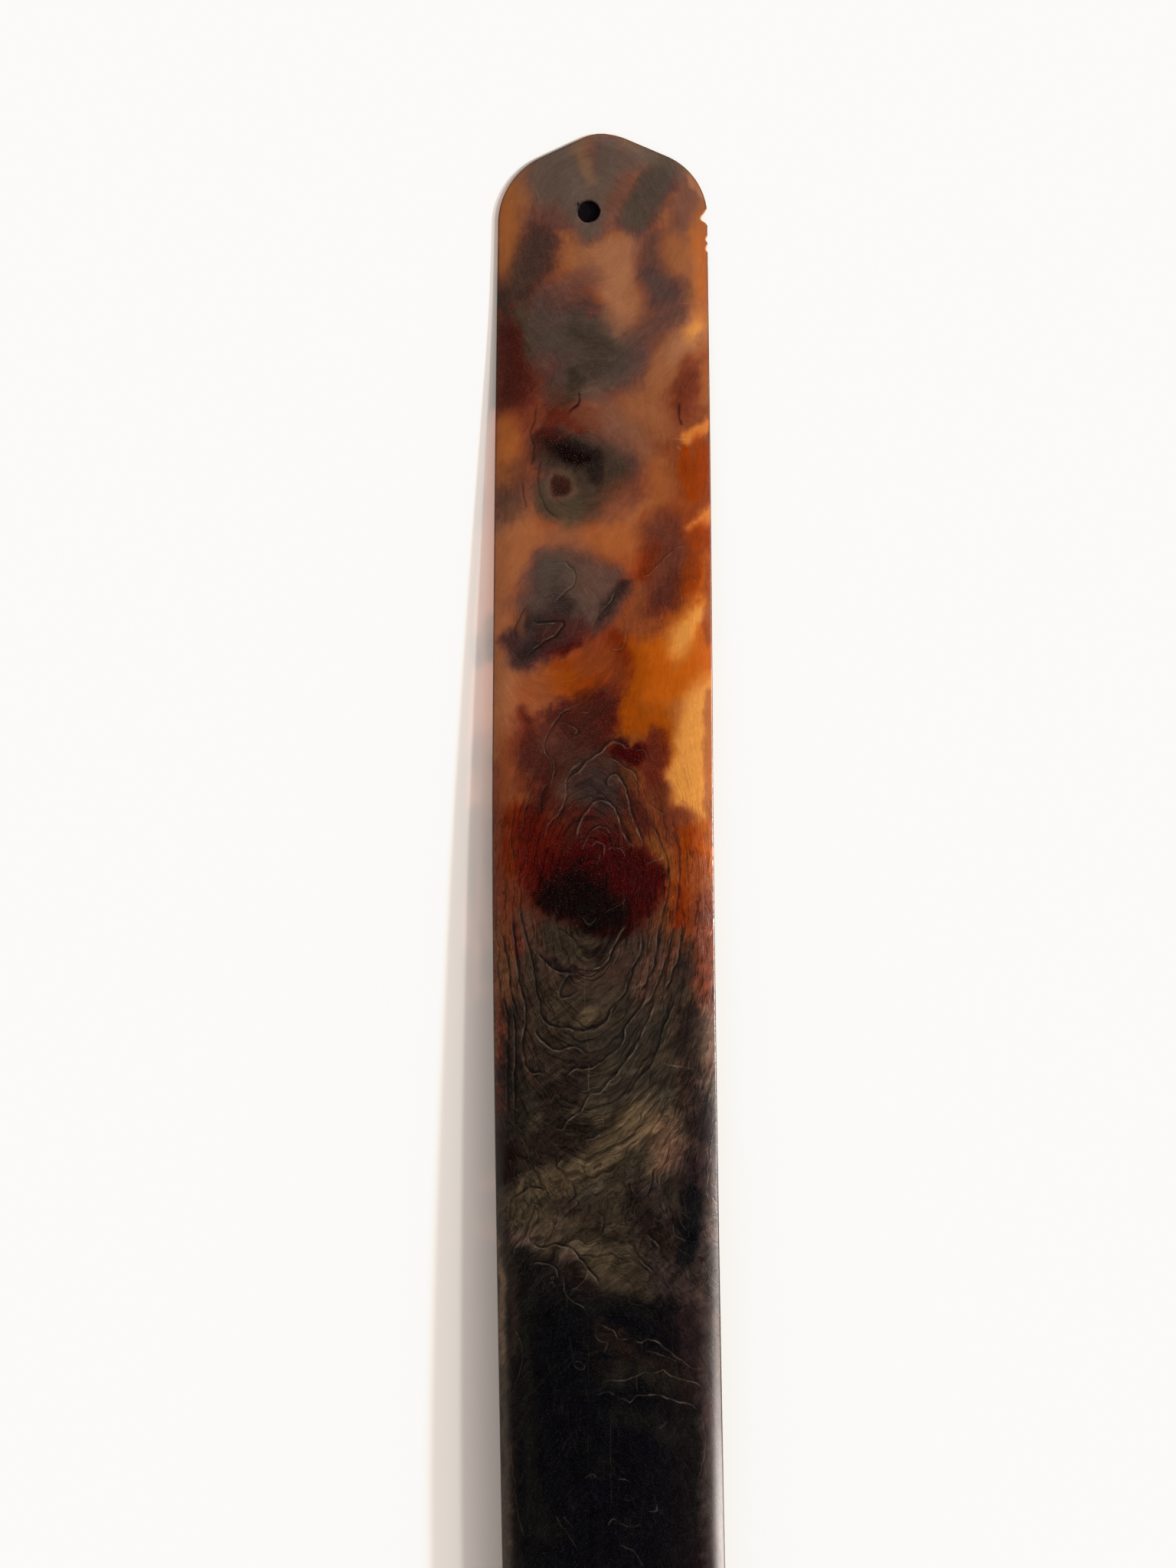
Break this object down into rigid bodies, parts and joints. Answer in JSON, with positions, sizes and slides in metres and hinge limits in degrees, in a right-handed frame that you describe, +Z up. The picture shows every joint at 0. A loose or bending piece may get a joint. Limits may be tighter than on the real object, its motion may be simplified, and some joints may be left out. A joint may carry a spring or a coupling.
{
  "type": "bone folder",
  "caption": "Long flat folding and creasing blade of mottled horn, with a pointed end, a small hanging hole and a round folding end.",
  "frame": {"origin": "middle of the footprint, on the table the blade lies on", "axes": "+Y along the blade towards the pointed end with the hole, +X across it, +Z up out of the crowned face"},
  "size_m": [0.0334, 0.3, 0.0056],
  "materials": {
    "horn": "polished mottled horn, amber to brown-black"
  },
  "bodies": {
    "root": {"blade": "horn"}
  },
  "joints": []
}
